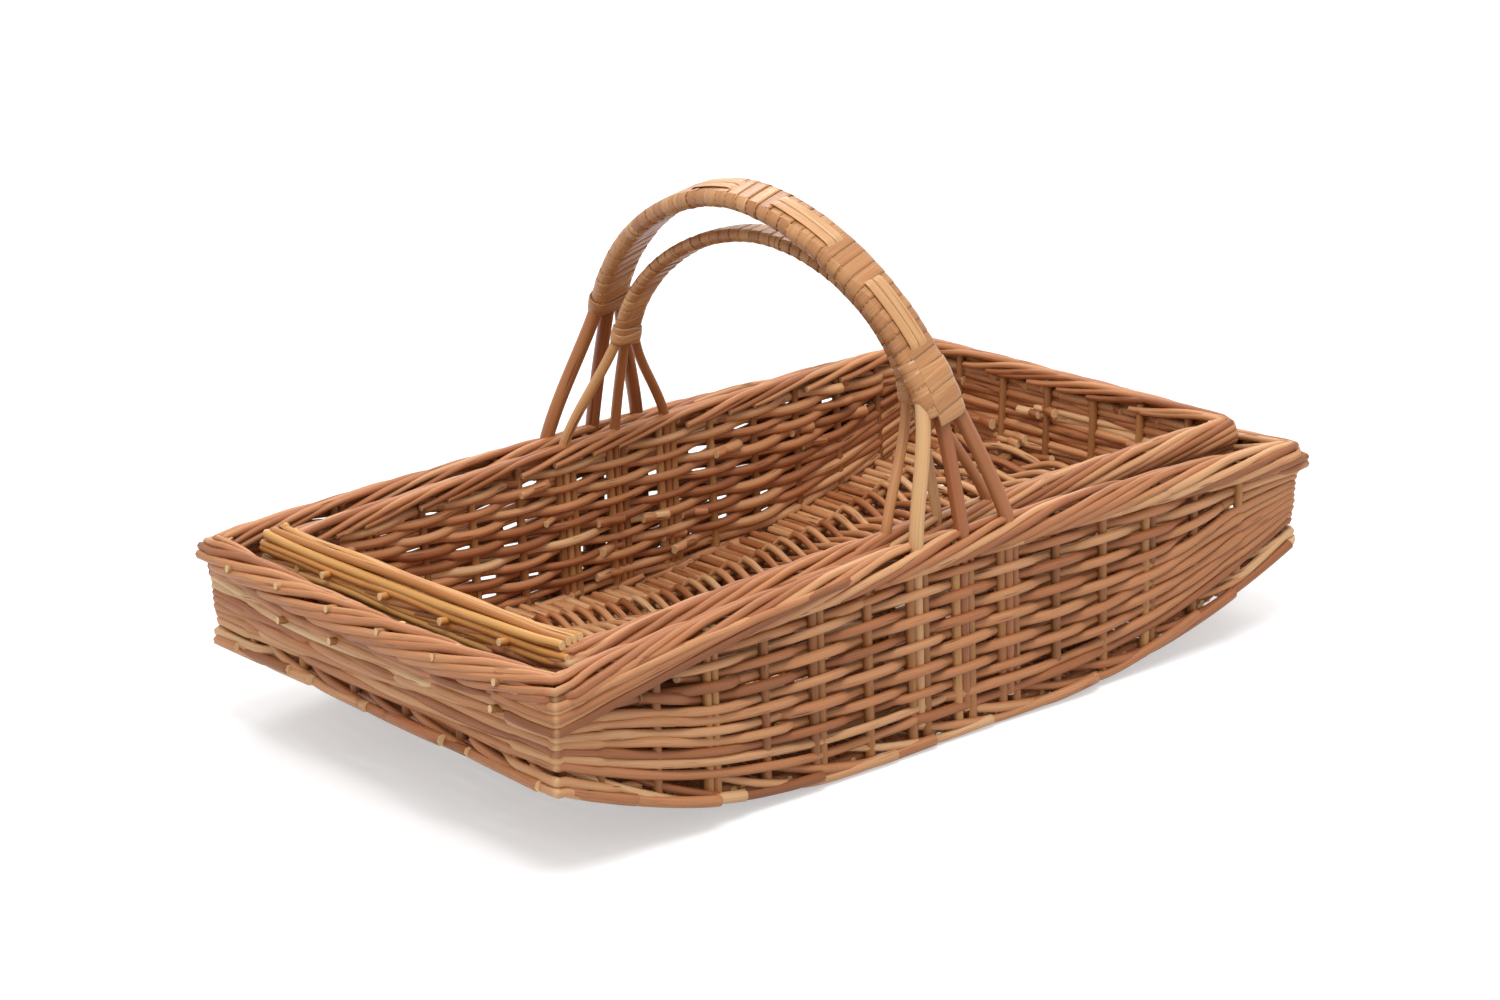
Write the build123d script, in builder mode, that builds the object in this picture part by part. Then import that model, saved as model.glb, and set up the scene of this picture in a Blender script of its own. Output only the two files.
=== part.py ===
from build123d import *
import math
import os
from types import SimpleNamespace

# A nested pair of woven willow trugs. Each is a rectangular tray on a rocker foot, long side
# along X, with a lapped three rod handle bowed across its middle. The inner trug stands loose
# in the outer one. Origin: centre of the flat under the outer trug, +Z up, lengths in mm.

# outer trug, tray
outer_rim_length = 580.0
outer_rim_width = 330.0
outer_end_flare = 1.5
outer_side_flare = 4.5
outer_foot_length = outer_rim_length - 2 * outer_end_flare
outer_foot_width = outer_rim_width - 2 * outer_side_flare
outer_corner_height = 113.5
outer_rim_crown = 8.0
outer_rim_waist = 7.0
outer_rim_rise = 0.0
outer_end_bow = 3.0
outer_end_lift = 51.0
outer_flat_length = 140.0
outer_wall = 14.0
outer_border = 17.0
outer_rim_depth = 14.0
outer_foot_depth = 14.0
outer_stake = 6.0
outer_stake_pitch = 38.0

# outer trug, handle
outer_rod = 9.0
outer_leg_pitch = 35.0
outer_leg_skew = 10.5
outer_bow_reach = 135.0
outer_leg_height = 64.5
outer_bow_rise = 111.0
outer_bow_spring = outer_corner_height + outer_leg_height
outer_bow_height = outer_bow_spring + outer_bow_rise
outer_bow_lean = 17.0
outer_shoulder_angle = 13.0

# base, alike in both
base_thickness = 11.0
base_rod_pitch = 15.0
base_rod_relief = 3.0
base_stick_width = 10.0
base_stick_height = 4.4
base_stick_spans = 3
base_sticks = 5

# how the inner trug stands in the outer one, and the room it has there on each side
nest_shift = 1.0
nest_turn = 1.3
nest_gap = 0.3
nest_end_room = 24.0
nest_side_room = 29.0
nest_rim_step = 7.3
nest_spring_room = 1.2
nest_bow_room = 26.2
nest_reach_room = 28.5
nest_lift_step = 5.0
nest_flat_step = 6.0
nest_floor = base_thickness + nest_gap

# inner trug, tray
inner_rim_length = outer_rim_length - 2 * nest_end_room
inner_rim_width = outer_rim_width - 2 * nest_side_room
inner_end_flare = 3.0
inner_side_flare = 5.0
inner_foot_length = inner_rim_length - 2 * inner_end_flare
inner_foot_width = inner_rim_width - 2 * inner_side_flare
inner_corner_height = outer_corner_height + nest_rim_step - nest_floor
inner_rim_crown = 3.0
inner_rim_waist = 1.0
inner_rim_rise = 9.0
inner_end_bow = 2.0
inner_end_lift = outer_end_lift - nest_lift_step
inner_flat_length = outer_flat_length - nest_flat_step
inner_wall = 12.5
inner_border = 15.0
inner_rim_depth = 13.0
inner_foot_depth = 13.0
inner_stake = 5.5
inner_stake_pitch = 36.0

# inner trug, handle
inner_rod = 6.0
inner_leg_pitch = 40.0
inner_leg_skew = 9.0
inner_bow_reach = outer_bow_reach - nest_reach_room
inner_bow_spring = outer_bow_spring - nest_floor - nest_spring_room
inner_bow_height = outer_bow_height - nest_floor - nest_bow_room
inner_bow_lean = 2.0
inner_shoulder_angle = 12.0

# weave, alike in both
course_depth = 1.2
wall_courses = 6
rim_courses = 2
crest_courses = 3
post_stick = 8.0
post_stub = 6.0
end_stakes = 6

# handle lapping and collars, alike in both
skein = 2.4
skein_loops = 16
skein_clear = 0.15
collar_length = 12.0
collar_wall = 2.0
leg_bend = 8.0
bend_margin = 3.0
seat_gap = 0.2
overrun = 2.0

rod_sides = 6
stake_sides = 5
collar_sides = 8
skein_sides = 4
samples_a_run = 8
rise_spans = 3
end_spans = 2

turn = Plane(origin=(0, 0, 0), x_dir=(math.cos(math.radians(nest_turn)),
                                      math.sin(math.radians(nest_turn)), 0))


def trug(name, frame, **sizes):
    """Gathers one trug's sizes and the places that follow from them."""
    t = SimpleNamespace(name=name, frame=frame, **sizes)
    run = t.foot_length / 2 - t.flat_length / 2
    t.rocker_radius = (run**2 + t.end_lift**2) / (2 * t.end_lift)
    t.post_x = t.foot_length / 2 - t.border
    t.post_y = t.foot_width / 2 - t.border
    return t


outer = trug(
    "outer", Plane.XY,
    rim_length=outer_rim_length, rim_width=outer_rim_width, foot_length=outer_foot_length,
    foot_width=outer_foot_width, corner_height=outer_corner_height, rim_crown=outer_rim_crown,
    rim_waist=outer_rim_waist, rim_rise=outer_rim_rise, end_bow=outer_end_bow,
    end_lift=outer_end_lift, flat_length=outer_flat_length, wall=outer_wall,
    border=outer_border, rim_depth=outer_rim_depth, foot_depth=outer_foot_depth,
    stake=outer_stake, stake_pitch=outer_stake_pitch, rod=outer_rod,
    leg_pitch=outer_leg_pitch, leg_skew=outer_leg_skew, bow_reach=outer_bow_reach,
    bow_spring=outer_bow_spring, bow_height=outer_bow_height, bow_lean=outer_bow_lean,
    shoulder_angle=outer_shoulder_angle)

inner = trug(
    "inner", Plane(origin=(nest_shift, 0, nest_floor), x_dir=turn.x_dir),
    rim_length=inner_rim_length, rim_width=inner_rim_width, foot_length=inner_foot_length,
    foot_width=inner_foot_width, corner_height=inner_corner_height, rim_crown=inner_rim_crown,
    rim_waist=inner_rim_waist, rim_rise=inner_rim_rise, end_bow=inner_end_bow,
    end_lift=inner_end_lift, flat_length=inner_flat_length, wall=inner_wall,
    border=inner_border, rim_depth=inner_rim_depth, foot_depth=inner_foot_depth,
    stake=inner_stake, stake_pitch=inner_stake_pitch, rod=inner_rod,
    leg_pitch=inner_leg_pitch, leg_skew=inner_leg_skew, bow_reach=inner_bow_reach,
    bow_spring=inner_bow_spring, bow_height=inner_bow_height, bow_lean=inner_bow_lean,
    shoulder_angle=inner_shoulder_angle)


def across(t, x):
    """The plane of a trug's cross section at x: sketch X is width, sketch Y is height."""
    return Plane(t.frame * Plane(origin=(x, 0, 0), x_dir=(0, 1, 0), z_dir=(1, 0, 0)))


def along(t, y):
    """The plane of a trug's lengthwise section at y: sketch X is length, sketch Y is height."""
    return Plane(t.frame * Plane(origin=(0, y, 0), x_dir=(1, 0, 0), z_dir=(0, -1, 0)))


def rocker(t, x):
    """Height of the underside, flat in the middle and arched up to the ends."""
    run = max(abs(x) - t.flat_length / 2, 0)
    return t.rocker_radius - math.sqrt(t.rocker_radius**2 - run**2)


def rim_top(t, x):
    middle_share = 1 - (2 * x / t.rim_length) ** 2
    return t.corner_height + t.rim_crown * middle_share + t.rim_rise * x / t.rim_length


def long_wall_foot(t, x, side):
    return (side * (t.foot_width / 2 - t.border / 2), rocker(t, x) + t.foot_depth)


def long_wall_head(t, x, side):
    middle_share = 1 - (2 * x / t.rim_length) ** 2
    y = t.rim_width / 2 - t.border / 2 - t.rim_waist * middle_share
    return (side * y, rim_top(t, x) - t.rim_depth)


def end_wall_foot(t, y, end):
    return (end * (t.foot_length / 2 - t.border / 2), t.end_lift + t.foot_depth)


def end_wall_head(t, y, end):
    bow = t.end_bow * (1 - (y / t.post_y) ** 2)
    x = end * (t.rim_length / 2 - t.border / 2 + bow)
    return (x, rim_top(t, end * t.rim_length / 2) - t.rim_depth)


def lobed(foot, head, thickness, courses, crest=0):
    """Outline of stacked rods: one lobe a course up both faces, and crest lobes over the top."""
    half = thickness / 2
    deep = half - course_depth
    steps = 2 * courses
    spine = [
        (foot[0] + (head[0] - foot[0]) * i / steps, foot[1] + (head[1] - foot[1]) * i / steps)
        for i in range(steps + 1)
    ]
    reach = [half if i % 2 else deep for i in range(steps + 1)]
    right = [(u + r, v) for (u, v), r in zip(spine, reach)]
    left = [(u - r, v) for (u, v), r in zip(spine, reach)]
    top = []
    for i in range(1, 2 * crest):
        shift = deep - 2 * deep * i / (2 * crest)
        top.append((head[0] + shift, head[1] + (course_depth if i % 2 else 0)))
    return right + top + left[::-1]


def long_stations(t):
    """Cross sections of a long side: one span over the flat, equal spans out to the posts."""
    half_flat = t.flat_length / 2
    step = (t.post_x - half_flat) / rise_spans
    rising = [half_flat + step * i for i in range(rise_spans + 1)]
    return [-x for x in reversed(rising)] + rising


def end_stations(t):
    return [-t.post_y + 2 * t.post_y * i / end_spans for i in range(end_spans + 1)]


def on_ruled(t, stations, place, side, at):
    """Sketch point of a wall's foot or head at a place between two of its sections."""
    i = max(j for j in range(len(stations) - 1) if j == 0 or stations[j] <= at)
    share = (at - stations[i]) / (stations[i + 1] - stations[i])
    (u, v), (w, z) = place(t, stations[i], side), place(t, stations[i + 1], side)
    return u + (w - u) * share, v + (z - v) * share


def stick(t, stations, foot, head, side, at, thickness, lengthwise):
    """A stick in a wall: where the wall's foot and head are, its way, and its trimmed ends."""
    ends = []
    for place, out in ((foot, 1), (head, -1)):
        width, level = on_ruled(t, stations, place, side, at)
        beside = [out * on_ruled(t, stations, place, side, at + step)[1]
                  for step in (-thickness / 2, thickness / 2)]
        rise = max(max(beside) - out * level, 0)
        point = Vector(at, width, level) if lengthwise else Vector(width, at, level)
        ends.append((point, rise))
    (low, foot_rise), (high, head_rise) = ends
    way = (high - low).normalized()
    tilt = thickness / 2 * math.hypot(way.X, way.Y)
    s = SimpleNamespace(low=low, high=high, way=way, thickness=thickness)
    s.start = low + way * (seat_gap + foot_rise + tilt)
    s.end = high - way * (seat_gap + head_rise + tilt)
    return s


def leg_places(t, side):
    return [-side * t.leg_skew + k * t.leg_pitch for k in (-1, 0, 1)]


def stake_places(t, side):
    """Stakes outboard of the handle legs, at one pitch, up to the corner posts."""
    legs = leg_places(t, side)
    places = []
    x = legs[-1] + t.stake_pitch
    while x < t.post_x - t.stake:
        places.append(x)
        x += t.stake_pitch
    x = legs[0] - t.stake_pitch
    while x > -t.post_x + t.stake:
        places.append(x)
        x -= t.stake_pitch
    return places


def end_places(t):
    step = 2 * t.post_y / end_stakes
    return [-t.post_y + step * (i + 1 / 2) for i in range(end_stakes)]


def long_sticks(t, side, places, thickness):
    return [
        stick(t, long_stations(t), long_wall_foot, long_wall_head, side, x, thickness, True)
        for x in places
    ]


def end_sticks(t, end):
    return [
        stick(t, end_stations(t), end_wall_foot, end_wall_head, end, y, t.stake, False)
        for y in end_places(t)
    ]


def straight_rods(t, lines, thickness, sides):
    """Straight rods from point to point, in the trug's own frame."""
    with BuildPart() as rods:
        for start, end in lines:
            way = (end - start).normalized()
            at = Plane(origin=start, x_dir=Vector(0, 1, 0).cross(way), z_dir=way)
            with BuildSketch(Plane(t.frame * at)):
                RegularPolygon(thickness / 2, sides, rotation=180 / sides)
            extrude(amount=(end - start).length)
    return rods.part


def channels(t, sticks, sides, after):
    """The ways that the sticks run in, with room all round."""
    width = (sticks[0].thickness + 2 * seat_gap) / math.cos(math.pi / sides)
    lines = [(s.low - s.way * overrun, s.high + s.way * after) for s in sticks]
    return straight_rods(t, lines, width, sides)


def base_stick_row(t, room):
    """The lengthwise sticks inside the base weave, grown by room on every face."""
    floor = (base_thickness - base_rod_relief - base_stick_height) / 2 - room
    roof = floor + base_stick_height + 2 * room
    width = base_stick_width + 2 * room
    half_flat = t.flat_length / 2
    span = (t.post_x - half_flat) / base_stick_spans
    bends = [half_flat + span * i for i in range(base_stick_spans)]
    tip = t.post_x - seat_gap + room
    places = [-tip] + [-x for x in reversed(bends)] + bends + [tip]
    under = [(x, rocker(t, x) + floor) for x in places]
    over = [(x, rocker(t, x) + roof) for x in reversed(places)]
    with BuildPart() as row:
        for i in range(base_sticks):
            y = t.post_y * (2 * (i + 1 / 2) / base_sticks - 1)
            with BuildSketch(along(t, y + width / 2)):
                Polygon(*under, *over, align=None)
            extrude(amount=width)
    return row.part


def joint_between(p, p_way, q, q_way):
    """Where two arcs meet that leave p along p_way and reach q along q_way."""
    gap = q - p
    bend = 2 * (p_way.dot(q_way) - 1)
    slant = -2 * gap.dot(p_way + q_way)
    reach = (-slant - math.sqrt(slant**2 - 4 * bend * gap.dot(gap))) / (2 * bend)
    return (p + p_way * reach + q - q_way * reach) * (1 / 2)


def arc_middle(p, way, q):
    """The middle of the arc that leaves p along way and ends at q."""
    chord = (q - p).normalized()
    bulge = (way - chord * way.dot(chord)).normalized()
    half_turn = math.acos(way.dot(chord)) / 2
    return (p + q + bulge * ((q - p).length * math.tan(half_turn))) * (1 / 2)


def arc_from(start, way, end):
    """Centre and radius of the arc in the bow's plane that leaves start along way."""
    gap = end - start
    inward = Vector(-way.Y, way.X, 0)
    radius = gap.dot(gap) / (2 * gap.dot(inward))
    return start + inward * radius, radius, start, end


# The handle bow lies in one plane that leans and turns a little. Straight stretches run up
# through the collars, then a shoulder arc and a crown arc on each side meet at the top.
def bow(t):
    feet = Vector(-t.leg_skew, t.bow_reach, 0)
    lean = Vector(-t.bow_lean, 0, t.bow_height - t.bow_spring)
    angle = math.radians(t.shoulder_angle)
    b = SimpleNamespace()
    b.plane = Plane(origin=(0, 0, t.bow_spring), x_dir=feet, z_dir=feet.cross(lean))
    b.up = Vector(-math.sin(angle), math.cos(angle), 0)
    b.straight = collar_length + 2 * bend_margin
    b.low = Vector(feet.length, 0, 0)
    b.spring = b.low + b.up * b.straight
    top = Vector(0, lean.length, 0)
    joint = joint_between(b.spring, b.up, top, Vector(-1, 0, 0))
    shoulder = arc_from(b.spring, b.up, joint)
    crown_way = Vector(shoulder[0].Y - joint.Y, joint.X - shoulder[0].X, 0).normalized()
    crown = arc_from(joint, crown_way, top)
    b.arcs = [shoulder, crown]
    for centre, radius, start, end in (crown, shoulder):
        b.arcs.append((mirrored(centre), radius, mirrored(end), mirrored(start)))
    return b


def mirrored(point):
    return Vector(-point.X, point.Y, point.Z)


def turn_between(centre, start, end):
    a = math.atan2(start.Y - centre.Y, start.X - centre.X)
    c = math.atan2(end.Y - centre.Y, end.X - centre.X)
    return a, c


def bow_point(t, b, s):
    """Place and outward way on the bow's centre line, at s along it from the first spring."""
    for centre, radius, start, end in b.arcs:
        a, c = turn_between(centre, start, end)
        length = radius * (c - a)
        if s <= length or end is b.arcs[-1][3]:
            at = a + s / radius
            way = Vector(math.cos(at), math.sin(at), 0)
            return centre + way * radius, way
        s -= length


def bow_length(b):
    total = 0
    for centre, radius, start, end in b.arcs:
        a, c = turn_between(centre, start, end)
        total += radius * (c - a)
    return total


def in_bow(t, b, point):
    """A point of the bow's own plane, in the part's frame."""
    return t.frame.from_local_coords(b.plane.from_local_coords(point))


def band(reach, radius):
    """A flat loop's outline round rods that stand side by side out to reach."""
    with BuildSketch() as outline:
        with Locations((-reach, 0), (reach, 0)):
            RegularPolygon(radius, collar_sides, major_radius=False, rotation=180 / collar_sides)
        make_hull()
    return outline.sketch


def write(part, name):
    print(name, "volume", round(part.volume))
    part.label = name
    export_step(part, "parts/" + name + ".step")


os.makedirs("parts", exist_ok=True)

sides = (("front", -1), ("back", 1))
ends = (("left", -1), ("right", 1))

for t in (outer, inner):
    half_flat = t.flat_length / 2

    # base weave: one slab on the rocker, with the cross rods standing out of its top
    with BuildPart() as base_weave:
        with BuildSketch(along(t, t.post_y)):
            with BuildLine():
                Line((-half_flat, 0), (half_flat, 0))
                for end in (1, -1):
                    far = end * t.post_x
                    mid = end * (half_flat + t.post_x) / 2
                    ThreePointArc((end * half_flat, 0), (mid, rocker(t, mid)),
                                  (far, rocker(t, far)))
                count = round(2 * t.post_x / base_rod_pitch)
                top = []
                for i in range(2 * count + 1):
                    x = -t.post_x + t.post_x * i / count
                    relief = 0 if i % 2 else base_rod_relief
                    top.append((x, rocker(t, x) + base_thickness - relief))
                Polyline((-t.post_x, rocker(t, t.post_x)), *top,
                         (t.post_x, rocker(t, t.post_x)))
            make_face()
        extrude(amount=2 * t.post_y)
        add(base_stick_row(t, seat_gap), mode=Mode.SUBTRACT)
    write(base_weave.part, t.name + "_base_weave")

    # base sticks, run lengthwise inside the weave
    write(base_stick_row(t, 0), t.name + "_base_sticks")

    # long sides: foot border, woven wall, rim border and the stakes inside the wall
    for side_name, side in sides:
        stations = long_stations(t)
        stakes = long_sticks(t, side, stake_places(t, side), t.stake)
        legs = long_sticks(t, side, leg_places(t, side), t.rod)

        with BuildPart() as foot_border:
            for x in stations:
                foot = long_wall_foot(t, x, side)
                with BuildSketch(across(t, x)):
                    Polygon(*lobed((foot[0], rocker(t, x)), foot, t.border, rim_courses), align=None)
            loft(ruled=True)
        write(foot_border.part, f"{t.name}_foot_border_{side_name}")

        with BuildPart() as wall:
            for x in stations:
                with BuildSketch(across(t, x)):
                    Polygon(*lobed(long_wall_foot(t, x, side), long_wall_head(t, x, side),
                                   t.wall, wall_courses), align=None)
            loft(ruled=True)
            add(channels(t, stakes, stake_sides, overrun)
                + channels(t, legs, rod_sides, overrun), mode=Mode.SUBTRACT)
        write(wall.part, f"{t.name}_wall_{side_name}")

        with BuildPart() as rim_border:
            for x in stations:
                head = long_wall_head(t, x, side)
                crest = (head[0], head[1] + t.rim_depth - course_depth)
                with BuildSketch(across(t, x)):
                    Polygon(*lobed(head, crest, t.border, rim_courses, crest_courses), align=None)
            loft(ruled=True)
            add(channels(t, legs, rod_sides, t.rim_depth + t.border), mode=Mode.SUBTRACT)
        write(rim_border.part, f"{t.name}_rim_border_{side_name}")

        stake_row = straight_rods(t, [(s.start, s.end) for s in stakes], t.stake, stake_sides)
        write(stake_row, f"{t.name}_stakes_{side_name}")

    # ends: the same four pieces
    for end_name, end in ends:
        stations = end_stations(t)
        stakes = end_sticks(t, end)
        face = t.post_x
        tip = t.foot_length / 2

        with BuildPart() as foot_border:
            with BuildSketch(along(t, t.post_y)):
                Polygon(*[(end * face, rocker(t, face)), (end * tip, t.end_lift),
                          (end * tip, t.end_lift + t.foot_depth),
                          (end * face, t.end_lift + t.foot_depth)], align=None)
            extrude(amount=2 * t.post_y)
        write(foot_border.part, f"{t.name}_foot_border_{end_name}")

        with BuildPart() as wall:
            for y in stations:
                with BuildSketch(along(t, y)):
                    Polygon(*lobed(end_wall_foot(t, y, end), end_wall_head(t, y, end),
                                   t.wall, wall_courses), align=None)
            loft(ruled=True)
            add(channels(t, stakes, stake_sides, overrun), mode=Mode.SUBTRACT)
        write(wall.part, f"{t.name}_wall_{end_name}")

        with BuildPart() as rim_border:
            for y in stations:
                head = end_wall_head(t, y, end)
                crest = (head[0], head[1] + t.rim_depth - course_depth)
                with BuildSketch(along(t, y)):
                    Polygon(*lobed(head, crest, t.border, rim_courses, crest_courses), align=None)
            loft(ruled=True)
        write(rim_border.part, f"{t.name}_rim_border_{end_name}")

        stake_row = straight_rods(t, [(s.start, s.end) for s in stakes], t.stake, stake_sides)
        write(stake_row, f"{t.name}_stakes_{end_name}")

    # corner posts: the four walls end on them, and a stick's cut end stands out of each
    with BuildPart() as corner_posts:
        for end_name, end in ends:
            for side_name, side in sides:
                top = rim_top(t, end * t.rim_length / 2)
                lean = (t.rim_width - t.foot_width) / 2
                flank = Plane(t.frame * Plane(
                    origin=(0, side * t.foot_width / 2, t.end_lift), x_dir=(1, 0, 0),
                    z_dir=(0, side * (top - t.end_lift), -lean)))
                with BuildPart() as post:
                    with BuildSketch(along(t, side * t.post_y)):
                        Polygon(*[(end * t.post_x, rocker(t, t.post_x)),
                                  (end * t.foot_length / 2, t.end_lift),
                                  (end * t.rim_length / 2, top), (end * t.post_x, top)],
                                align=None)
                    extrude(amount=-side * (t.rim_width / 2 - t.post_y + overrun))
                    split(bisect_by=flank, keep=Keep.BOTTOM)
                    upper = post.faces().sort_by(Axis.Z)[-1]
                    centre = upper.center()
                    with BuildSketch(Plane(origin=centre)):
                        RegularPolygon(post_stick / 2, rod_sides)
                    extrude(amount=post_stub)
                add(post.part)
    write(corner_posts.part, t.name + "_corner_posts")

    # handle: three rods side by side over the bow, each fanned out into a leg at both feet
    b = bow(t)
    rod_step = t.rod + seat_gap
    wall_legs = {side: long_sticks(t, side, leg_places(t, side), t.rod) for name, side in sides}
    for k, rod_name in ((-1, "left"), (0, "middle"), (1, "right")):
        shift = Vector(0, 0, k * rod_step)
        feet = {}
        for side in (-1, 1):
            leg = wall_legs[side][k + 1]
            climb = (t.rim_depth + bend_margin) / leg.way.Z
            feet[side] = [t.frame.from_local_coords(p)
                          for p in (leg.start, leg.high + leg.way * climb)]
        low_back = in_bow(t, b, b.low + shift)
        spring_back = in_bow(t, b, b.spring + shift)
        with BuildPart() as rod:
            with BuildLine() as route:
                FilletPolyline(feet[1][0], feet[1][1], low_back, spring_back, radius=leg_bend)
                for centre, radius, start, end in b.arcs:
                    a, c = turn_between(centre, start, end)
                    middle = centre + Vector(math.cos((a + c) / 2), math.sin((a + c) / 2), 0) * radius
                    ThreePointArc(in_bow(t, b, start + shift), in_bow(t, b, middle + shift),
                                  in_bow(t, b, end + shift))
                FilletPolyline(in_bow(t, b, Vector(-b.spring.X, b.spring.Y, 0) + shift),
                               in_bow(t, b, Vector(-b.low.X, b.low.Y, 0) + shift),
                               feet[-1][1], feet[-1][0], radius=leg_bend)
            with BuildSketch(Plane(origin=feet[1][0], z_dir=feet[1][1] - feet[1][0])):
                RegularPolygon(t.rod / 2, rod_sides)
            sweep()
        write(rod.part, f"{t.name}_handle_rod_{rod_name}")

    # collars: one band round the three rods at each end of the bow
    for side_name, side in sides:
        start = Vector(side * b.low.X, b.low.Y, 0)
        way = Vector(side * b.up.X, b.up.Y, 0)
        origin = in_bow(t, b, start + way * bend_margin)
        axis = in_bow(t, b, start + way * b.straight) - in_bow(t, b, start)
        span = in_bow(t, b, Vector(0, 0, rod_step)) - in_bow(t, b, Vector(0, 0, 0))
        with BuildPart() as collar:
            with BuildSketch(Plane(origin=origin, x_dir=span, z_dir=axis)):
                add(band(rod_step, t.rod / 2 + seat_gap + collar_wall))
                add(band(rod_step, t.rod / 2 + seat_gap), mode=Mode.SUBTRACT)
            extrude(amount=collar_length)
        write(collar.part, f"{t.name}_handle_collar_{side_name}")

    # lapping: one skein wound round the three rods from collar to collar. Each loop is a run over
    # the rods, a half turn, a run under them and a half turn, and it moves along the bow steadily.
    lift = t.rod / 2 + seat_gap + skein / 2
    edge = rod_step + skein_clear
    margin = skein
    total = bow_length(b) - 2 * margin
    halves = 2 * skein_loops
    run_share = 2 * edge / (2 * edge + math.pi * lift)

    def lap(s, w, h):
        place, out = bow_point(t, b, s)
        return in_bow(t, b, place + out * h + Vector(0, 0, w))

    laps = []
    for i in range(halves):
        begin = margin + total * i / halves
        finish = begin + total * run_share / halves
        way = 1 if i % 2 == 0 else -1
        laps.append((lap(begin, -way * edge, way * lift), lap(finish, way * edge, way * lift)))
    with BuildPart() as lapping:
        with BuildLine() as route:
            for i, (p, q) in enumerate(laps):
                Line(p, q)
                if i + 1 < len(laps):
                    r, u = laps[i + 1]
                    p_way = (q - p).normalized()
                    r_way = (u - r).normalized()
                    joint = joint_between(q, p_way, r, r_way)
                    ThreePointArc(q, arc_middle(q, p_way, joint), joint)
                    ThreePointArc(joint, arc_middle(r, r_way * -1, joint), r)
        with BuildSketch(Plane(origin=laps[0][0], z_dir=laps[0][1] - laps[0][0])):
            RegularPolygon(skein / 2, skein_sides)
        sweep(path=Wire(route.edges()))
    runs = route.edges()
    samples = [run @ (i / samples_a_run) for run in runs for i in range(samples_a_run)]
    a_turn = samples_a_run * len(runs) // skein_loops
    near = min((p - samples[j]).length for i, p in enumerate(samples)
               for j in range(i + a_turn // 2, min(i + 2 * a_turn, len(samples))))
    length = sum(run.length for run in runs)
    section = skein_sides / 2 * (skein / 2) ** 2 * math.sin(2 * math.pi / skein_sides)
    print(t.name, "lapping: loops", skein_loops, "least gap", round(near - skein, 2),
          "volume over section times length", round(lapping.part.volume / length / section, 3))
    print(t.name, "bow: radii", [round(radius, 1) for centre, radius, start, end in b.arcs],
          "length", round(bow_length(b), 1))
    write(lapping.part, t.name + "_handle_lapping")
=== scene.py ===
# Two willow trugs, one nested in the other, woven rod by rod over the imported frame.
import math

import bpy
import numpy as np
from mathutils import Matrix, Vector


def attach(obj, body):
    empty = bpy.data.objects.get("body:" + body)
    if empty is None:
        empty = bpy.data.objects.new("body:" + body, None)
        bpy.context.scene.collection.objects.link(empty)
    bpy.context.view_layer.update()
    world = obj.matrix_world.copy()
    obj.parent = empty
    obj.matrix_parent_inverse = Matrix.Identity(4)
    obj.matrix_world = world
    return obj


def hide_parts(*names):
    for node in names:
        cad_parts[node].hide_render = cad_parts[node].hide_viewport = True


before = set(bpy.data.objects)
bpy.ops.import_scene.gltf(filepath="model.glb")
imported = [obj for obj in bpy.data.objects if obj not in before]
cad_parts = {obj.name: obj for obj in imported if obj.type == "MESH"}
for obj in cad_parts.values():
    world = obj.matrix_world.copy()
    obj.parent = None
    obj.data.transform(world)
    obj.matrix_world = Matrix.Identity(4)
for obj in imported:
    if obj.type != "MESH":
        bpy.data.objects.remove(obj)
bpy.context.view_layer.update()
mm = 0.001  # sizes below are in millimetres, meshes in metres
chance = np.random.default_rng(23)  # every random choice in the weave comes from this seed
between = chance.uniform  # a number drawn between two
print("frame loaded")


def linearColour(hexText):
    # sRGB hex, as the finishes are written, to Blender's linear colour
    parts = [int(hexText[i:i + 2], 16) / 255 for i in (1, 3, 5)]
    return [p / 12.92 if p <= 0.04045 else ((p + 0.055) / 1.055) ** 2.4 for p in parts] + [1.0]


def addNode(tree, kind, settings=None, links=None):
    # one node, its settings by attribute or socket name, and what feeds its sockets
    node = tree.nodes.new(kind)
    for key, value in (settings or {}).items():
        if isinstance(key, int) or key in node.inputs:
            node.inputs[key].default_value = value
        else:
            setattr(node, key, value)
    for key, source in (links or {}).items():
        tree.links.new(source, node.inputs[key])
    return node


# what all finishes share: shift from rod to rod, pattern sizes across a rod, relief in metres;
# each finish gives its streaks, patches and scars as so many a metre
grain = dict(apart=90.0, streak=(3.6, 3.6), patch=(1.0, 0.4), scar=(0.9, 0.9),
             scarEdge=(0.11, 0.19), band=(0.3, 0.7), roughnessSpread=0.08, relief=0.0004)


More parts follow.
